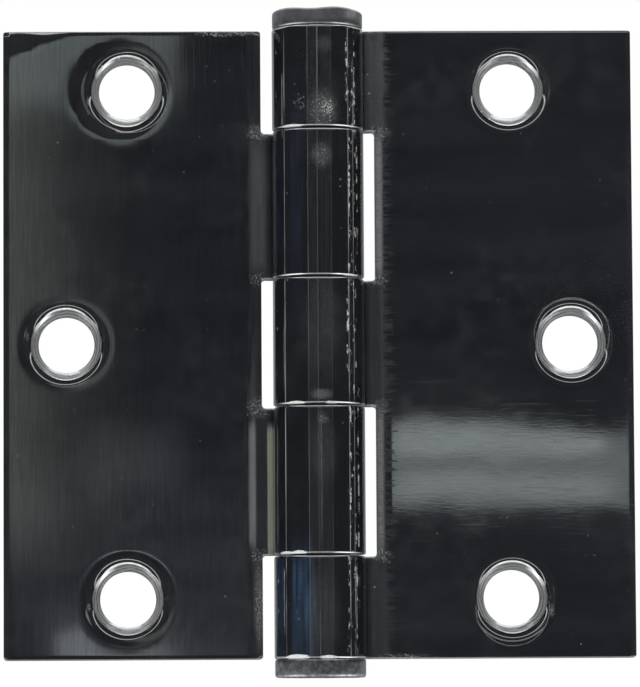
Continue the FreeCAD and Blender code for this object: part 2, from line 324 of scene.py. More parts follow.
wear = {
    "spotCore": 0.3,            # this share of a spot is at full strength
    "barrelEdge": (0.1, 0.4),   # the barrel's finish ends this far outside its radius
    "patchScale": 70.0,
    "bloomScale": 420.0,
    "patchRange": (0.35, 0.7),
    "noiseRange": (0.35, 0.65),     # most of a noise lies between these
    "deepRange": (0.66, 0.74),  # noise values that count as a deep scratch
    "speckSoft": 0.1,
    "speckSize": (0.04, 0.18),
    "glintLift": 0.1,           # a spot has more glints in its middle
    "glintSoft": 0.08,
    "glintEdge": 0.3,
    "gritHaze": (0.3, 0.7, 0.3, 1.7),
    "barrelHighlightStretch": (1300.0, 1300.0, 560.0),
    "barrelHighlightSoft": 0.06,
    "bendFrom": 5.6,            # the dull strip of the bend, from the pin's axis
    "bendTo": 9.8,
    "bendSoft": 0.4,
    "bendRagged": 8.0,
    "backSoft": (0.3, 0.05),    # marks of the front fade out this far before the back face
    "sinkFrom": 2.0,            # countersink, from the middle of the hole
    "sinkTo": 4.92,
    "sinkSoft": 0.15,
    "crescentSoft": 0.08,
    "wobbleScale": 420.0,
    "wobble": 0.6,
    "ringFadeScale": 260.0,
    "rimHighlightHalf": 0.05,
    "rimHighlightShow": (5.0, 5.3, 0.3),   # painted highlight arcs: from here, full from here, strength
    "dustAndHighlightRough": 0.5,           # roughness that dust and painted highlights add
    "dustAndHighlightLoss": 0.6,            # and what dust, painted highlights and countersink take from the metallic look
    "sinkLoss": 0.7,
    "streakShade": 0.4,         # a streak's tone against the plate's
    "tintThin": 0.6,           # a tinted strip's thinnest part against its fullest
    "sinkDark": (0.07, 0.073, 0.075),
    "sinkLight": (0.26, 0.27, 0.268),
    # pale colour of dust, also painted onto the highlights
    "dustAndHighlightTone": (0.75, 0.76, 0.75),
}


def addSpot(tree, place, centre, size):
    # 1 at the centre, falling to 0 at size, all in mm
    scale = [1 / (part * mm) for part in size]
    offset = addVector(tree, "SUBTRACT", place, [part * mm for part in centre])
    far = addVector(tree, "LENGTH", addVector(tree, "MULTIPLY", offset, scale))
    return addRange(tree, far, wear["spotCore"], 1.0, 1.0, 0.0)


def addOffset(tree, place, x, z):
    # from a point of the leaf, along the leaf only
    offset = addVector(tree, "SUBTRACT", place, (x * mm, 0.0, z * mm))
    return addVector(tree, "MULTIPLY", offset, (1.0, 0.0, 1.0))


def makePlate(name, look):
    material = bpy.data.materials.new(name)
    material.use_nodes = True
    tree = material.node_tree
    shader = tree.nodes["Principled BSDF"]
    place = tree.nodes.new("ShaderNodeTexCoord").outputs["Object"]
    split = tree.nodes.new("ShaderNodeSeparateXYZ")
    tree.links.new(place, split.inputs[0])
    across = addMath(tree, "ABSOLUTE", split.outputs["X"])
    ahead = addMath(tree, "MULTIPLY", split.outputs["Y"], -1.0)
    turned = addMath(tree, "DEGREES", addMath(tree, "ARCTAN2", split.outputs["X"], ahead))
    fromAxis = addVector(tree, "LENGTH", addVector(tree, "MULTIPLY", place, (1.0, 1.0, 0.0)))
    barrelEnds, barrelEnded = [(barrelRadius + beyond) * mm for beyond in wear["barrelEdge"]]
    barrel = addRange(tree, fromAxis, barrelEnds, barrelEnded, 1.0, 0.0)
    flat = addMath(tree, "SUBTRACT", 1.0, barrel)

    # polishing grain: fine lines drawn along one direction, uneven over the plate
    grain = addNoise(tree, place, 1.0, look["grain"], detail=3.0, rough=0.6)
    patchy = addRange(tree, addNoise(tree, place, wear["patchScale"], detail=3.0), *wear["patchRange"])
    fine = addNoise(tree, place, look["fineScale"], detail=2.0, rough=0.6)
    streaks = addNoise(tree, place, 1.0, look["streaks"], detail=3.0, rough=0.65)
    scratches = addNoise(tree, place, 1.0, look["scratches"], detail=2.0, rough=0.7)
    deep = addRange(tree, scratches, *wear["deepRange"])

    # dust and pits, some gathered in scuffs, and painted highlights: bright bands at the knuckle ends, lines
    # along the barrel and arcs beside the countersinks
    specks = tree.nodes.new("ShaderNodeTexVoronoi")
    tree.links.new(place, specks.inputs["Vector"])
    specks.inputs["Scale"].default_value = look["speckScale"]
    rare = look["speckRare"]
    dustAndHighlights = addRange(tree, specks.outputs["Color"], rare, rare + wear["speckSoft"], 0.0, look["speckShow"])
    dustAndHighlights = addMath(tree, "MULTIPLY", dustAndHighlights,
                   addRange(tree, specks.outputs["Distance"], *wear["speckSize"], 1.0, 0.0))
    grit = addNoise(tree, place, look["gritScale"], look["gritStretch"], detail=5.0, rough=0.75)
    bloom = addRange(tree, addNoise(tree, place, wear["bloomScale"], detail=4.0), *wear["patchRange"])
    smudge = addMath(tree, "MULTIPLY", addMath(tree, "MULTIPLY", patchy, bloom), look["bloom"])
    # scuffs, and bands across the knuckle ends that are painted highlights
    for centre, size, cover, amount, haze in look["scuffsAndHighlights"]:
        spotMask = addSpot(tree, place, centre, size)
        glint = addMath(tree, "MULTIPLY_ADD", spotMask, wear["glintLift"], grit)
        glint = addRange(tree, glint, cover, cover + wear["glintSoft"], 0.0, amount)
        glint = addMath(tree, "MULTIPLY", glint, addRange(tree, spotMask, 0.0, wear["glintEdge"]))
        dustAndHighlights = addMath(tree, "MAXIMUM", dustAndHighlights, glint)
        smudge = addMath(tree, "MULTIPLY_ADD", spotMask, haze, smudge)
    smudge = addMath(tree, "MULTIPLY", smudge, addRange(tree, grit, *wear["gritHaze"]))
    dustAndHighlights = addMath(tree, "MAXIMUM", dustAndHighlights, smudge)

    # painted highlights: bright broken lines along the barrel, where its line of reflected light falls
    broken = addNoise(tree, place, 1.0, wear["barrelHighlightStretch"], detail=5.0, rough=0.75)
    for angle, width, cover, amount in look["barrelHighlights"]:
        line = addMath(tree, "MULTIPLY", addWindow(tree, turned, angle - width, angle + width, width * 0.7),
                       addRange(tree, broken, cover, cover + wear["barrelHighlightSoft"], 0.0, amount))
        dustAndHighlights = addMath(tree, "MAXIMUM", dustAndHighlights, addMath(tree, "MULTIPLY", line, barrel))

    # the bend beside the barrel is stretched and a little dull
    ragged = wear["bendRagged"] * mm
    ragged = addMath(tree, "MULTIPLY_ADD", streaks, ragged, addMath(tree, "SUBTRACT", across, ragged / 2))
    bend = addWindow(tree, ragged, wear["bendFrom"] * mm, wear["bendTo"] * mm, wear["bendSoft"] * mm)
    stretched = addMath(tree, "MULTIPLY", flat, bend)
    dull = addMath(tree, "MULTIPLY", stretched, look["bendDull"])
    film = addMath(tree, "MULTIPLY", patchy, look["film"])
    for centre, size, amount in look["films"]:
        smear = addMath(tree, "MULTIPLY", addSpot(tree, place, centre, size), amount)
        uneven = addRange(tree, addMath(tree, "MULTIPLY_ADD", fine, 0.6, streaks), 0.5, 1.1)
        film = addMath(tree, "ADD", film, addMath(tree, "MULTIPLY", smear, uneven))
    rough = addMath(tree, "ADD", look["rough"], addMath(tree, "ADD", film, dull))

    # the countersinks are duller, with rings left by the tool and clean crescents; none of it is on the back
    backFace = (sheet["setback"] + sheet["thickness"]) * mm
    facingEnds, facingEnded = [backFace - short * mm for short in wear["backSoft"]]
    facing = addRange(tree, split.outputs["Y"], facingEnds, facingEnded, 1.0, 0.0)
    fromHole = 1.0
    shine = 0.0
    for x, z in look["holes"]:
        offset = addOffset(tree, place, x, z)
        length = addVector(tree, "LENGTH", offset)
        fromHole = addMath(tree, "MINIMUM", fromHole, length)
        parts = tree.nodes.new("ShaderNodeSeparateXYZ")
        tree.links.new(offset, parts.inputs[0])
        below = addMath(tree, "MULTIPLY", parts.outputs["Z"], -1.0)
        bearing = addMath(tree, "DEGREES", addMath(tree, "ARCTAN2", parts.outputs["X"], below))
        for fromTurn, toTurn, softTurn, inner, outer in look["shine"]:
            clean = addMath(tree, "MULTIPLY", addWindow(tree, bearing, fromTurn, toTurn, softTurn),
                            addWindow(tree, length, inner * mm, outer * mm, wear["crescentSoft"] * mm))
            shine = addMath(tree, "MAXIMUM", shine, clean)
    rings = 0.0
    sinkTone = 0.0
    if look["holes"]:
        sink = addWindow(tree, fromHole, wear["sinkFrom"] * mm, wear["sinkTo"] * mm, wear["sinkSoft"] * mm)
        inSink = addMath(tree, "MULTIPLY", facing, sink)
        wobble = addMath(tree, "MULTIPLY", addNoise(tree, place, wear["wobbleScale"]), wear["wobble"] * mm)
        phase = addMath(tree, "MULTIPLY", addMath(tree, "ADD", fromHole, wobble), look["ringPitch"] / mm)
        fade = addNoise(tree, place, wear["ringFadeScale"])
        fade = addRange(tree, fade, *wear["noiseRange"], 0.2, 1.0)
        rings = addMath(tree, "SINE", phase)
        rings = addMath(tree, "MULTIPLY", rings, addMath(tree, "MULTIPLY", inSink, fade))
        rough = addMath(tree, "MULTIPLY_ADD", inSink, look["sinkDull"], rough)
        sinkTone = addMath(tree, "MULTIPLY", inSink, addMath(tree, "SUBTRACT", 1.0, shine))
        sinkTone = addMath(tree, "MULTIPLY", sinkTone, addRange(tree, fine, 0.3, 0.65, 0.6, 1.0))
    # thin painted highlight arcs just outside the countersinks
    for x, z, radius in look["rimHighlights"]:
        half = wear["rimHighlightHalf"]
        line = addWindow(tree, addVector(tree, "LENGTH", addOffset(tree, place, x, z)),
                         (radius - half) * mm, (radius + half) * mm, half * mm)
        starts, full, strength = wear["rimHighlightShow"]
        line = addMath(tree, "MULTIPLY", line,
                       addRange(tree, fromHole, starts * mm, full * mm, 0.0, strength))
        line = addMath(tree, "MULTIPLY", line, facing)
        dustAndHighlights = addMath(tree, "MAXIMUM", dustAndHighlights, addMath(tree, "MULTIPLY", line, flat))
    rough = addMath(tree, "MULTIPLY_ADD", dustAndHighlights, wear["dustAndHighlightRough"], rough)
    tree.links.new(rough, shader.inputs["Roughness"])

    metal = addMath(tree, "SUBTRACT", 1.0, addMath(tree, "MULTIPLY", dustAndHighlights, wear["dustAndHighlightLoss"]))
    metal = addMath(tree, "SUBTRACT", metal, addMath(tree, "MULTIPLY", sinkTone, wear["sinkLoss"]))
    uneven = addMath(tree, "MULTIPLY", addRange(tree, fine, *wear["noiseRange"]), look["mottle"])
    streaked = addRange(tree, streaks, *wear["noiseRange"])
    uneven = addMath(tree, "MULTIPLY_ADD", streaked, look["streaky"], uneven)
    shade = [wear["streakShade"] * part for part in look["tone"]]
    tone = addMix(tree, uneven, (*look["tone"], 1.0), (*shade, 1.0))
    lined = addRange(tree, addMath(tree, "MULTIPLY_ADD", fine, 2.0, rings), 0.2, 1.8)
    sinkColour = addMix(tree, lined, (*wear["sinkDark"], 1.0), (*wear["sinkLight"], 1.0))
    tone = addMix(tree, sinkTone, tone, sinkColour)
    for fromX, toX, softX, fromZ, toZ, softZ, colour, amount in look["tintStrips"]:
        tintMask = addWindow(tree, split.outputs["X"], fromX * mm, toX * mm, softX * mm)
        tintMask = addMath(tree, "MULTIPLY", tintMask,
                        addWindow(tree, split.outputs["Z"], fromZ * mm, toZ * mm, softZ * mm))
        thin = addRange(tree, streaks, *wear["noiseRange"], wear["tintThin"] * amount, amount)
        tintMask = addMath(tree, "MULTIPLY", tintMask, thin)
        tintMask = addMath(tree, "MULTIPLY", tintMask, facing)
        metal = addMath(tree, "MULTIPLY", metal, addMath(tree, "SUBTRACT", 1.0, tintMask))
        tone = addMix(tree, tintMask, tone, (*colour, 1.0))
    # dust, and the painted highlights, in a pale colour
    tone = addMix(tree, dustAndHighlights, tone, (*wear["dustAndHighlightTone"], 1.0))
    tree.links.new(metal, shader.inputs["Metallic"])
    tree.links.new(tone, shader.inputs["Base Color"])

    height = addMath(tree, "MULTIPLY", grain, look["grainDepth"])
    height = addMath(tree, "SUBTRACT", height, addMath(tree, "MULTIPLY", deep, look["scratchDepth"]))
    height = addMath(tree, "ADD", height, addMath(tree, "MULTIPLY", fine, look["fineDepth"]))
    height = addMath(tree, "ADD", height, addMath(tree, "MULTIPLY", rings, look["ringDepth"]))
    bump = tree.nodes.new("ShaderNodeBump")
    bump.inputs["Strength"].default_value = 1.0
    bump.inputs["Distance"].default_value = mm
    tree.links.new(height, bump.inputs["Height"])
    tree.links.new(bump.outputs["Normal"], shader.inputs["Normal"])
    return material


# Leaves: one strip of sheet, bent back beside the barrel and rolled round the pin, all in mm

sheet = {
    "thickness": 2.4,
    "setback": 0.8,             # how far its front face lies behind the pin's axis
    "bend": 11.2,               # radius of the bend's front face
    "slit": 0.2,
    "relief": 1.6,              # barrel to the edge of a notch
    "play": 0.1,                # half the gap between two knuckles
    "endSeam": 29.95,
    "innerSeam": 9.0,
    "screwHole": mounts["jamb_middle_screw"]["dims"]["r_mm"],
    "countersink": 5.65,
    "sinkAngle": 82.0,
    "patch": 7.0,               # half side of the square of mesh round a hole
    "cell": 0.85,
    "edgeCell": 0.37,           # first cell inside the end of a knuckle
    "bendSteps": 7,
    "turn": 5.0,                # degrees of the roll that one cell takes
    "flatFrom": 8.5,            # the flat of the leaf starts this far from the pin's axis
    "sharpAngle": 30.0,         # edges that turn more than this are rounded
}
sheet["bore"] = barrelRadius - sheet["thickness"]

outerScrews = mounts["jamb_outer_screws"]
rowX = outerScrews["pos_m"][0] / mm
rowZ = outerScrews["dims"]["spacing_y_mm"] / 2
middleX = mounts["jamb_middle_screw"]["pos_m"][0] / mm
holePlaces = ((rowX, rowZ), (middleX, 0.0), (rowX, -rowZ))


def gridLines(needed, cell):
    lines = []
    needed = sorted(set(round(value, 4) for value in needed))
    for low, high in zip(needed, needed[1:]):
        count = max(1, round((high - low) / cell))
        lines += [low + (high - low) * step / count for step in range(count)]
    return lines + needed[-1:]


def sheetProfile():
    # pairs of points (front face, back face) along the strip, from the outer edge to the cut end
    front = sheet["setback"]
    back = front + sheet["thickness"]
    bore = sheet["bore"]
    bend = sheet["bend"]
    bendY = front + bend
    bendX = math.sqrt((bend + bore) ** 2 - bendY ** 2)
    meet = math.degrees(math.atan2(bendY, bendX))
    wide = bend + sheet["slit"]
    opening = math.degrees(math.acos(((bend + bore) ** 2 + barrelRadius ** 2 - wide ** 2)
                                     / (2 * (bend + bore) * barrelRadius)))
    patch = sheet["patch"]
    flat = gridLines((reach, middleX + patch, middleX - patch, rowX + patch, rowX - patch, bendX),
                     sheet["cell"])
    stations = [((x, front), (x, back)) for x in reversed(flat)]
    notchX = barrelRadius + sheet["relief"]
    notchAngle = math.degrees(math.asin((bendX - notchX) / bend))
    steps = [notchAngle / 2, notchAngle]
    bendSteps = sheet["bendSteps"]
    steps += [notchAngle + (90 - meet - notchAngle) * part / bendSteps for part in range(1, bendSteps + 1)]
    for angle in steps:
        turn = math.radians(angle)
        pair = []
        for radius in (bend, bend - sheet["thickness"]):
            pair.append((bendX - radius * math.sin(turn), bendY - radius * math.cos(turn)))
        if angle == notchAngle:
            inner = bend - sheet["thickness"]
            pair[1] = (notchX, bendY - math.sqrt(inner ** 2 - (bendX - notchX) ** 2))
        stations.append(tuple(pair))
    notch = len(flat) + 1
    rollAngle = 360 - opening
    count = round(rollAngle / sheet["turn"])
    for step in range(1, count + 1):
        turn = math.radians(meet + rollAngle * step / count)
        stations.append(((bore * math.cos(turn), bore * math.sin(turn)),
                         (barrelRadius * math.cos(turn), barrelRadius * math.sin(turn))))
    return stations, notch


def buildLeaf(name, body, rows, look, material):
    stations, notch = sheetProfile()
    patch = sheet["patch"]
    front = sheet["setback"]
    back = front + sheet["thickness"]
    needed = [halfHeight, -halfHeight]
    for low, high in rows:
        needed += [low, low + sheet["edgeCell"], high - sheet["edgeCell"], high]
    for x, z in holePlaces:
        needed += [z - patch, z + patch]
    heights = gridLines(needed, sheet["cell"])
    mesh = bmesh.new()
    weights = mesh.edges.layers.float.new("bevel_weight_edge")
    grid = {}
    onHole = set()

    def corner(side, i, j):
        if (side, i, j) not in grid:
            x, y = stations[i][side]
            grid[side, i, j] = mesh.verts.new((x, y, heights[j]))
        return grid[side, i, j]

    def hasMetal(i, j):
        if not (0 <= i < len(stations) - 1 and 0 <= j < len(heights) - 1):
            return False
        middle = (heights[j] + heights[j + 1]) / 2
        return i < notch or any(low < middle < high for low, high in rows)

    def holeAt(i, j):
        middleOfCell = ((stations[i][0][0] + stations[i + 1][0][0]) / 2,
                        (heights[j] + heights[j + 1]) / 2)
        if i + 1 >= len(stations) or stations[i + 1][0][1] > front + 1e-6:
            return None
        for x, z in holePlaces:
            if abs(middleOfCell[0] - x) < patch and abs(middleOfCell[1] - z) < patch:
                return x, z
        return None

    holeCells = {place: [] for place in holePlaces}
    for i in range(len(stations) - 1):
        for j in range(len(heights) - 1):
            if not hasMetal(i, j):
                continue
            hole = holeAt(i, j)
            if hole:
                holeCells[hole].append((i, j))
            else:
                for side in (0, 1):
                    mesh.faces.new([corner(side, i, j), corner(side, i + 1, j),
                                    corner(side, i + 1, j + 1), corner(side, i, j + 1)])
            walls = (((-1, 0), ((i, j), (i, j + 1))), ((1, 0), ((i + 1, j), (i + 1, j + 1))),
                     ((0, -1), ((i, j), (i + 1, j))), ((0, 1), ((i, j + 1), (i + 1, j + 1))))
            for (di, dj), (a, b) in walls:
                if not hasMetal(i + di, j + dj):
                    mesh.faces.new([corner(0, *a), corner(0, *b), corner(1, *b), corner(1, *a)])

    for number, ((x, z), cells) in enumerate(holeCells.items()):
        low = min(cells)
        high = max(cells)
        loop = [(i, low[1]) for i in range(low[0], high[0] + 1)]
        loop += [(high[0] + 1, j) for j in range(low[1], high[1] + 1)]
        loop += [(i, high[1] + 1) for i in range(high[0] + 1, low[0], -1)]
        loop += [(low[0], j) for j in range(high[1] + 1, low[1], -1)]
        slipX, slipZ = look["slips"][number]
        rings = [[corner(0, i, j) for i, j in loop]]

        def addRing(radius, depth, blend, slip):
            # blend 0 is a circle, 1 the square of mesh round it
            ring = []
            for i, j in loop:
                edgeX, edgeZ = stations[i][0][0], heights[j]
                angle = math.atan2(edgeZ - z, edgeX - x)
                ringX = x + slip * slipX + radius * math.cos(angle)
                ringZ = z + slip * slipZ + radius * math.sin(angle)
                place = (ringX + (edgeX - ringX) * blend, front + depth, ringZ + (edgeZ - ringZ) * blend)
                ring.append(mesh.verts.new(place))
            rings.append(ring)
            onHole.update(ring)

        screw = sheet["screwHole"]
        steep = 90 - sheet["sinkAngle"] / 2
        for blend in look["fadeRings"]:
            addRing(look["lipOuter"] + look["fadeOut"], 0.0, blend, 1 - blend)
        radius, depth = look["lipOuter"], 0.0
        addRing(radius, depth, 0.0, 1)
        narrow = (look["lipOuter"] - look["lipInner"]) / look["lipSteps"]
        for step in range(look["lipSteps"]):
            tilt = steep * ((step + 0.5) / look["lipSteps"]) ** look["lipPower"]
            radius -= narrow
            depth += narrow * math.tan(math.radians(tilt))
            addRing(radius, depth, 0.0, 1 - step / look["lipSteps"])
        sinkDepth = depth + (radius - screw) * math.tan(math.radians(steep))
        addRing((radius + screw) / 2, (depth + sinkDepth) / 2, 0.0, 0)
        addRing(screw, sinkDepth, 0.0, 0)
        addRing(screw, back - front, 0.0, 0)
        for wider, blend in look["backRings"]:
            addRing(screw + wider, back - front, blend, 0)
        rings.append([corner(1, i, j) for i, j in loop])
        count = len(loop)
        for ring, following in zip(rings, rings[1:]):
            for step in range(count):
                after = (step + 1) % count
                mesh.faces.new([ring[step], ring[after], following[after], following[step]])

    bmesh.ops.recalc_face_normals(mesh, faces=mesh.faces)
    sideOf = {vert: key for key, vert in grid.items()}
    lastStation = len(stations) - 1
    for edge in mesh.edges:
        if len(edge.link_faces) != 2 or edge.calc_face_angle() < math.radians(sheet["sharpAngle"]):
            continue
        first, second = edge.verts
        if first in onHole or second in onHole:
            edge[weights] = look["holeRound"]
            continue
        sides = {sideOf[first][0], sideOf[second][0]}
        onRoll = min(sideOf[first][1], sideOf[second][1]) > notch
        atCut = sideOf[first][1] == lastStation and sideOf[second][1] == lastStation
        if atCut:
            edge[weights] = look["cutRound"]
        elif len(sides) == 2:
            edge[weights] = look["cornerRound"]
        elif onRoll:
            edge[weights] = look["knuckleRound"]
        else:
            edge[weights] = look["frontRound"] if 0 in sides else look["backRound"]

    for vert in mesh.verts:
        vert.co = Vector(look["shape"](*vert.co)) * mm
    finishPiece(name, mesh, body, material, look["bevel"])


finishing = {
    "bevelSteps": 3,
    "evenWeight": 90,           # how much large faces lead the shading
}


def finishPiece(name, mesh, body, material, bevel):
    data = bpy.data.meshes.new(name)
    mesh.to_mesh(data)
    mesh.free()
    for polygon in data.polygons:
        polygon.use_smooth = True
    piece = bpy.data.objects.new(name + "_plated", data)
    bpy.context.scene.collection.objects.link(piece)
    if bevel:
        rounding = piece.modifiers.new("roundedEdges", "BEVEL")
        rounding.limit_method = "WEIGHT"
        rounding.width = bevel * mm
        rounding.segments = finishing["bevelSteps"]
        rounding.use_clamp_overlap = False
        rounding.loop_slide = True
    shading = piece.modifiers.new("evenShading", "WEIGHTED_NORMAL")
    shading.weight = finishing["evenWeight"]
    data.materials.append(material)
    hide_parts(name)
    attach(piece, body)


def dish(x, z, centreX, centreZ, radius, width, depth):
    # the sheet is drawn in a little round a punched hole
    out = math.hypot(x - centreX, z - centreZ) - radius
    if out >= width:
        return 0.0
    return depth * (1 - max(out, 0.0) / width) ** 2


def swell(x, z, seed, size):
    return noise.noise(Vector((x / size, seed, z / size)))


leafLook = {
    "bevel": 1.0,               # rounding in mm where an edge's own weight is 1
    "frontRound": 0.16,
    "backRound": 0.3,
    "knuckleRound": 0.3,
    "cornerRound": 0.45,
    "holeRound": 0.1,
    "cutRound": 0.12,
    "lipOuter": 5.95,           # the countersink runs out into the front face over a wide soft lip
    "lipInner": 4.35,
    "lipPower": 1.25,
    "lipSteps": 12,
    "fadeRings": (0.85, 0.7, 0.55, 0.4, 0.28, 0.18, 0.08),
    "fadeOut": 0.15,
    "backRings": ((0.5, 0.0), (0.9, 0.5)),
}

# how far the front face of each leaf is from flat, in mm
jambFace = {
    "dishes": ((0, 1.2, 0.015), (0, 1.2, 0.015), (0, 1.2, 0.015)),      # off centre, width, depth
    "swells": ((0.004, 3.1, 17.0), (0.0012, 5.3, 5.0)),                 # height, place in the noise, size
}
doorFace = {
    "dishes": ((0, 1.7, 0.045), (0, 1.5, 0.03), (0.9, 2.1, 0.06)),
    "swells": ((0.006, 7.7, 15.0), (0.0015, 2.2, 6.0)),
    "dieRoll": 0.02,            # the shear draws the outer edge in
    "dieRollWidth": 0.6,
    "cornerFrom": 34.4,         # the outer top corner is knocked back a little
    "cornerSlope": 0.39,
    "cornerEdge": 44.0,
    "cornerRagged": (0.9, 1.1, 1.7),
    "cornerDepth": 0.022,
    "cornerSoft": 0.8,
}


def unevenFace(x, y, z, face):
    for (holeX, holeZ), (off, width, depth) in zip(holePlaces, face["dishes"]):
        y += dish(x, z, holeX + off, holeZ, sheet["countersink"], width, depth)
    return y + sum(height * swell(x, z, seed, size) for height, seed, size in face["swells"])


def jambShape(x, y, z):
    if x > sheet["flatFrom"]:
        y = unevenFace(x, y, z, jambFace)
    return x, y, z


def doorShape(x, y, z):
    if x > sheet["flatFrom"]:
        y = unevenFace(x, y, z, doorFace)
        y += doorFace["dieRoll"] * max(0.0, 1 - (reach - x) / doorFace["dieRollWidth"]) ** 2
        height, seed, size = doorFace["cornerRagged"]
        beyond = (x - doorFace["cornerFrom"]) * doorFace["cornerSlope"] - z - doorFace["cornerEdge"]
        beyond = max(0.0, beyond + height * swell(x, z, seed, size))
        y += doorFace["cornerDepth"] * beyond ** 2 / (beyond + doorFace["cornerSoft"])
    return -x, y, -z


# slips: how far each countersink's lip is off its hole
jambLook = dict(leafLook, shape=jambShape, slips=((0.08, 0.1), (0.1, 0.1), (0.1, 0.02)))
doorLook = dict(leafLook, shape=doorShape, slips=((0.1, -0.08), (0.1, -0.08), (0.1, -0.08)))

jambPlate = {
    "tone": (0.57, 0.58, 0.59),
    "streaky": 0.12,            # how much the streaks and the blotches darken the tone
    "mottle": 0.0,
    "rough": 0.02,
    "film": 0.006,              # added roughness in patches
    "bendDull": 0.14,
    "grain": (450.0, 300.0, 3500.0),    # fineness along X, Y and Z
    "grainDepth": 0.0002,
    "streaks": (450.0, 300.0, 3500.0),
    "scratches": (90.0, 800.0, 9000.0),
    "scratchDepth": 0.0001,
    "fineScale": 2500.0,
    "fineDepth": 0.0002,
    "speckScale": 900.0,
    "speckRare": 0.75,          # a higher value leaves fewer specks
    "speckShow": 0.45,
    "bloom": 0.022,             # faint uneven dullness of the plate
    "gritScale": 7000.0,
    "gritStretch": (1.0, 1.0, 0.7),
    # centre, size in mm, how much of it glints, how strongly, and the haze between
    "scuffsAndHighlights": (
        ((-0.2, -6.4, 37.0), (6.0, 5.0, 9.0), 0.70, 0.45, 0.0),
        ((0.6, -6.4, 32.3), (3.0, 4.0, 4.0), 0.66, 0.7, 0.10),
        ((1.2, -6.4, 32.6), (1.4, 3.0, 1.6), 0.60, 0.8, 0.12),
        ((0.8, -6.4, 41.6), (1.6, 3.0, 1.6), 0.72, 0.3, 0.06),
        ((-2.6, -6.0, 33.5), (1.6, 3.0, 2.8), 0.67, 0.8, 0.0),
        ((0.2, -6.4, 3.0), (4.0, 5.0, 9.0), 0.71, 0.4, 0.025),
        ((0.2, -6.4, -7.6), (2.0, 3.0, 1.0), 0.66, 0.3, 0.14),
        ((0.3, -6.4, -38.0), (3.4, 4.0, 8.0), 0.70, 0.4, 0.035),
        # the thin bright bands across the knuckle ends are painted highlights on their rounded edges
        ((-3.8, -5.3, 30.15), (1.7, 3.0, 0.34), 0.48, 1.5, 0.0),
        ((-3.4, -5.6, -8.8), (1.5, 3.0, 0.36), 0.46, 1.5, 0.0),
        ((1.6, -6.3, -8.8), (1.1, 3.0, 0.30), 0.50, 1.4, 0.0),
        ((8.6, 1.0, 29.9), (2.4, 4.0, 1.6), 0.64, 0.5, 0.02),
        ((8.6, 1.0, 9.0), (2.0, 4.0, 1.4), 0.64, 0.5, 0.02),
        ((8.6, 1.0, -9.0), (2.4, 4.0, 1.6), 0.64, 0.5, 0.02),
        ((8.6, 1.0, -29.9), (2.4, 4.0, 1.6), 0.64, 0.5, 0.02),
        # painted highlights across the end of the bottom knuckle
        ((-3.3, -5.5, -44.2), (2.1, 3.0, 0.44), 0.45, 1.5, 0.0),
        ((1.0, -6.3, -44.25), (1.5, 3.0, 0.34), 0.48, 1.4, 0.0),
        ((12.0, 1.0, -44.2), (6.0, 3.0, 0.7), 0.62, 0.6, 0.0),
        ((32.6, 1.0, -37.8), (0.5, 3.0, 1.2), 0.60, 0.4, 0.1),
        ((42.0, 1.0, 38.0), (5.0, 3.0, 9.0), 0.72, 0.35, 0.0),
        ((43.8, 1.0, 0.0), (2.2, 3.0, 60.0), 0.70, 0.35, 0.0),
    ),
    # centre, size in mm, added roughness
    "films": (
        ((8.1, 1.0, 37.0), (2.4, 4.0, 15.0), 0.07),
        ((8.1, 1.0, -37.0), (2.4, 4.0, 12.0), 0.07),
        ((43.9, 0.8, 0.0), (0.8, 4.0, 44.0), 0.05),
    ),
    # painted highlight lines along the barrel: angle round the barrel, half width, how much of it shows,
    # strength
    "barrelHighlights": (
        (38.0, 1.6, 0.53, 0.95),
        (52.0, 1.2, 0.53, 0.95),
        (46.5, 9.0, 0.575, 0.7),
        (-66.0, 0.8, 0.60, 0.9),
    ),
    "holes": holePlaces,
    # clean crescents in a countersink: from and to in degrees round from straight down,
    # soft, inner and outer radius
    "shine": ((108.0, 160.0, 9.0, 4.5, 6.0), (-33.0, 38.0, 5.0, 3.0, 4.5)),
    # tinted strips on the bend beside the barrel: from, to and soft along X, the same along Z, colour,
    # strength
    "tintStrips": (
        (8.1, 9.0, 0.3, 10.0, 29.0, 1.5, (0.05, 0.055, 0.13), 0.35),
        (8.1, 9.0, 0.3, -29.0, -10.0, 1.5, (0.05, 0.055, 0.11), 0.3),
    ),
    # painted highlight arcs beside a countersink's lip: centre, radius
    "rimHighlights": ((middleX + 0.17, 1.05, 5.3), (rowX + 0.07, -rowZ - 1.6, 5.15)),
    "ringPitch": 17.0,
    "ringDepth": 0.005,
    "sinkDull": 0.2,
}
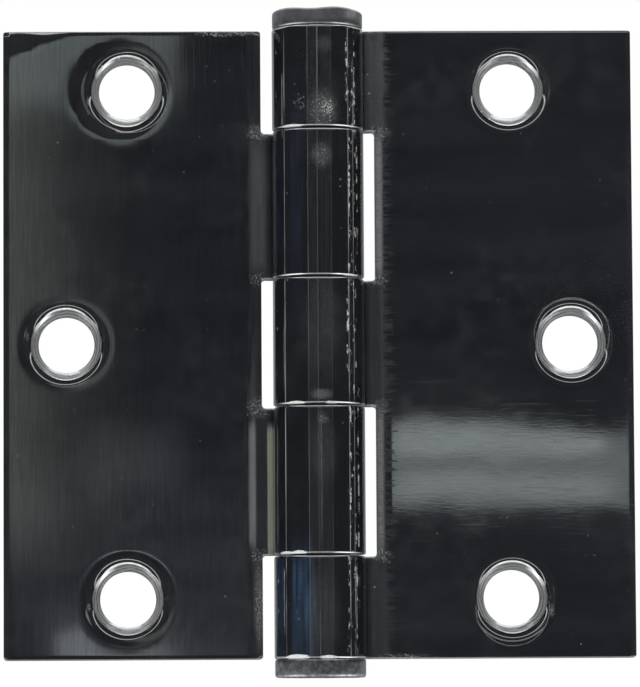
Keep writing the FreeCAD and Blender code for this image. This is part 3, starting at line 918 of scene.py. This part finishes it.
doorPlate = dict(
    jambPlate, streaky=0.2, bendDull=0.07, film=0.012, rough=0.025,
    grain=(3500.0, 300.0, 90.0), grainDepth=0.00014, fineDepth=0.0001,
    streaks=(3000.0, 300.0, 160.0), scratches=(9000.0, 800.0, 90.0),
    scuffsAndHighlights=(
        ((0.4, -6.4, 26.0), (2.0, 3.0, 2.4), 0.66, 0.5, 0.10),
        ((0.0, -6.4, 20.0), (5.0, 4.0, 12.0), 0.71, 0.4, 0.0),
        ((0.4, -6.4, -11.0), (1.2, 3.0, 1.2), 0.66, 0.5, 0.06),
        ((0.4, -6.4, -15.5), (3.0, 3.0, 6.0), 0.70, 0.35, 0.03),
        # the thin bright bands across the knuckle ends are painted highlights on their rounded edges
        ((-4.7, -4.5, -29.75), (1.2, 4.0, 0.36), 0.46, 1.5, 0.0),
        ((-3.0, -5.8, -29.7), (1.2, 3.0, 0.42), 0.46, 1.5, 0.0),
        ((4.4, -4.6, 9.1), (1.3, 4.0, 0.34), 0.48, 1.4, 0.0),
        ((-8.4, 1.0, 29.9), (2.6, 4.0, 2.0), 0.62, 0.5, 0.02),
        ((-8.4, 1.0, 9.0), (2.2, 4.0, 1.6), 0.64, 0.5, 0.02),
        ((-8.4, 1.0, -9.0), (2.6, 4.0, 2.2), 0.62, 0.5, 0.02),
        ((-8.4, 1.0, -29.9), (2.2, 4.0, 1.6), 0.64, 0.5, 0.02),
        ((-8.55, 1.2, -36.8), (1.0, 4.0, 8.4), 0.62, 0.4, 0.14),
        ((-13.0, 1.0, 44.2), (6.0, 3.0, 0.8), 0.60, 0.6, 0.0),
        ((-32.45, 1.0, 34.4), (0.3, 3.0, 0.9), 0.62, 0.5, 0.12),
        ((-41.05, 1.0, 1.2), (0.3, 3.0, 0.9), 0.62, 0.4, 0.10),
        ((-32.5, 1.0, -37.0), (0.4, 3.0, 0.9), 0.62, 0.5, 0.12),
    ),
    films=(
        ((-8.2, 1.0, 20.0), (1.8, 4.0, 12.0), 0.11),
        ((0.2, -6.4, -19.5), (1.6, 3.0, 14.0), 0.17),
    ),
    # painted highlight lines along the barrel
    barrelHighlights=((41.0, 1.4, 0.51, 0.95), (56.5, 1.4, 0.52, 0.8), (48.0, 8.0, 0.58, 0.65)),
    holes=tuple((-x, z) for x, z in holePlaces),
    shine=((-160.0, -108.0, 9.0, 4.5, 6.0), (-38.0, 26.0, 5.0, 3.0, 4.5)),
    tintStrips=(
        (-7.3, -6.5, 0.12, -29.6, -12.0, 1.2, (0.23, 0.24, 0.115), 0.8),
        (-9.9, -9.0, 0.25, -28.3, -11.5, 1.2, (0.13, 0.145, 0.16), 0.24),
        (-9.6, -7.4, 0.5, 10.5, 28.5, 1.5, (0.10, 0.11, 0.11), 0.07),
    ),
    # painted highlight arc beside a countersink's lip
    rimHighlights=((-rowX + 0.6, rowZ - 0.7, 5.2),),
)
# pin and plug are duller than the leaves, and shinier only at their edges
pinPlate = dict(
    jambPlate, tone=(0.43, 0.44, 0.45), mottle=0.3, streaky=0.0, rough=0.42, film=0.12, bendDull=0.0,
    grain=(900.0, 900.0, 900.0), fineDepth=0.003, fineScale=900.0, speckRare=0.9, bloom=0.0,
    barrelHighlights=(), holes=(), rimHighlights=(), tintStrips=(),
    films=(((0.0, 0.0, 44.45), (12.0, 12.0, 1.3), -0.35),),
    scuffsAndHighlights=(
        ((4.7, -4.3, 46.2), (1.4, 3.0, 1.0), 0.60, 0.5, 0.1),
        ((-3.6, -5.0, 46.4), (2.0, 3.0, 1.2), 0.68, 0.3, 0.0),
    ),
)
plugPlate = dict(
    pinPlate, tone=(0.52, 0.53, 0.54), mottle=0.8, rough=0.4, fineDepth=0.012, fineScale=1300.0,
    scuffsAndHighlights=(),
    films=(
        ((0.0, 0.0, -44.45), (12.0, 12.0, 1.0), -0.3),
        ((0.0, 0.0, -47.1), (12.0, 12.0, 0.7), -0.32),
    ),
)


# Pin and plug: turned pieces, in mm

pinLook = {
    "segments": 120,
    "longest": 0.9,             # longest step along the outline
    "shank": 3.97,
    "tipLength": 3.2,
    "tipTaper": 1.57,
    "rim": 0.42,                # roundings: top of the head, under it, start and end of the tip
    "underRim": 0.4,
    "tipStart": 0.5,
    "tipEnd": 0.3,
    "hump": 0.28,               # the top of the head is wavy
    "humpShift": 0.9,
    "humpPitch": 7.6,
    "uneven": 0.004,
}

plugLook = {
    "segments": 120,
    "longest": 0.6,
    "stem": sheet["bore"],
    "leadIn": 0.5,
    "rim": 0.45,
    "overRim": 0.35,
    "hole": mounts["punch_hole"]["dims"]["r_mm"],
    "holeInside": 0.15,
    "holeOutside": 0.2,
    "hump": 0.05,
}


def roundCorners(points, steps=5):
    # points are (radius from the axis, height, rounding)
    outline = []
    for index, (x, z, rounding) in enumerate(points):
        if not rounding:
            outline.append((x, z))
            continue
        here = Vector((x, z))
        before = Vector(points[index - 1][:2])
        after = Vector(points[(index + 1) % len(points)][:2])
        toBefore = (before - here).normalized()
        toAfter = (after - here).normalized()
        half = toBefore.angle(toAfter) / 2
        reachBack = rounding / math.tan(half)
        centre = here + (toBefore + toAfter).normalized() * rounding / math.sin(half)
        start = here + toBefore * reachBack - centre
        sweep = start.angle_signed(here + toAfter * reachBack - centre)
        for step in range(steps + 1):
            turn = -sweep * step / steps
            outline.append((centre.x + start.x * math.cos(turn) - start.y * math.sin(turn),
                            centre.y + start.x * math.sin(turn) + start.y * math.cos(turn)))
    return outline


def refine(outline, longest):
    fine = []
    for (x1, z1), (x2, z2) in zip(outline, outline[1:]):
        count = max(1, math.ceil(math.hypot(x2 - x1, z2 - z1) / longest))
        fine += [(x1 + (x2 - x1) * step / count, z1 + (z2 - z1) * step / count) for step in range(count)]
    return fine + outline[-1:]


def turnPiece(name, body, outline, closed, segments, shape, material):
    mesh = bmesh.new()
    rings = []
    for radius, z in outline:
        if radius < 1e-6:
            rings.append([mesh.verts.new((0.0, 0.0, z))])
            continue
        ring = []
        for step in range(segments):
            turn = 2 * math.pi * step / segments
            ring.append(mesh.verts.new((radius * math.cos(turn), radius * math.sin(turn), z)))
        rings.append(ring)
    pairs = list(zip(rings, rings[1:]))
    if closed:
        pairs.append((rings[-1], rings[0]))
    for ring, following in pairs:
        for step in range(segments):
            after = (step + 1) % segments
            if len(ring) == 1:
                mesh.faces.new([ring[0], following[after], following[step]])
            elif len(following) == 1:
                mesh.faces.new([ring[step], ring[after], following[0]])
            else:
                mesh.faces.new([ring[step], ring[after], following[after], following[step]])
    bmesh.ops.recalc_face_normals(mesh, faces=mesh.faces)
    for vert in mesh.verts:
        vert.co = Vector(shape(*vert.co)) * mm
    finishPiece(name, mesh, body, material, 0)


def pinShape(x, y, z):
    top = pinHigh.z / mm
    low = halfHeight
    if z > low + 0.1:
        share = (z - low) / (top - low)
        wave = math.cos(2 * math.pi * (x + pinLook["humpShift"]) / pinLook["humpPitch"]) * -0.5 - 0.5
        z += pinLook["hump"] * share * wave
        spread = 1 + pinLook["uneven"] * noise.noise(Vector((x / 3, y / 3, z / 2)))
        return x * spread, y * spread, z
    return x, y, z


def plugShape(x, y, z):
    if z < -halfHeight - 0.1:
        z += plugLook["hump"] * noise.noise(Vector((x / 3, y / 3, 4.0)))
    return x, y, z


def buildPin(material):
    top = pinHigh.z / mm
    tip = pinLow.z / mm
    head = pinHigh.x / mm
    shank = pinLook["shank"]
    corners = [
        (0.0, top, 0), (head, top, pinLook["rim"]), (head, halfHeight, pinLook["underRim"]),
        (shank, halfHeight, 0), (shank, tip + pinLook["tipLength"], pinLook["tipStart"]),
        (shank - pinLook["tipTaper"], tip, pinLook["tipEnd"]), (0.0, tip, 0),
    ]
    outline = refine(roundCorners(corners), pinLook["longest"])
    turnPiece("hinge_pin", "pin", outline, False, pinLook["segments"], pinShape, material)


def buildPlug(material):
    bottom = plugLow.z / mm
    top = plugHigh.z / mm
    cap = plugHigh.x / mm
    hole = plugLook["hole"]
    corners = [
        (hole, top, plugLook["holeInside"]), (plugLook["stem"], top, plugLook["leadIn"]),
        (plugLook["stem"], -halfHeight, 0), (cap, -halfHeight, plugLook["overRim"]),
        (cap, bottom, plugLook["rim"]), (hole, bottom, plugLook["holeOutside"]),
    ]
    outline = refine(roundCorners(corners), plugLook["longest"])
    turnPiece("bottom_plug", "jamb_side", outline, True, plugLook["segments"], plugShape, material)


makeSurround()
makeFloor()
makeCamera()
addSoftbox()
bpy.context.scene.view_settings.view_transform = "Standard"
print("studio ready")

seam, inner, play = sheet["endSeam"], sheet["innerSeam"], sheet["play"]
jambRows = ((seam + play, halfHeight), (-inner + play, inner - play), (-halfHeight, -seam - play))
doorRows = ((inner + play, seam - play), (-seam + play, -inner - play))
buildLeaf("jamb_leaf", "jamb_side", jambRows, jambLook, makePlate("jambPlate", jambPlate))
buildLeaf("door_leaf", "door_side", doorRows, doorLook, makePlate("doorPlate", doorPlate))
print("leaves ready")
buildPin(makePlate("pinPlate", pinPlate))
buildPlug(makePlate("plugPlate", plugPlate))
print("pin and plug ready")
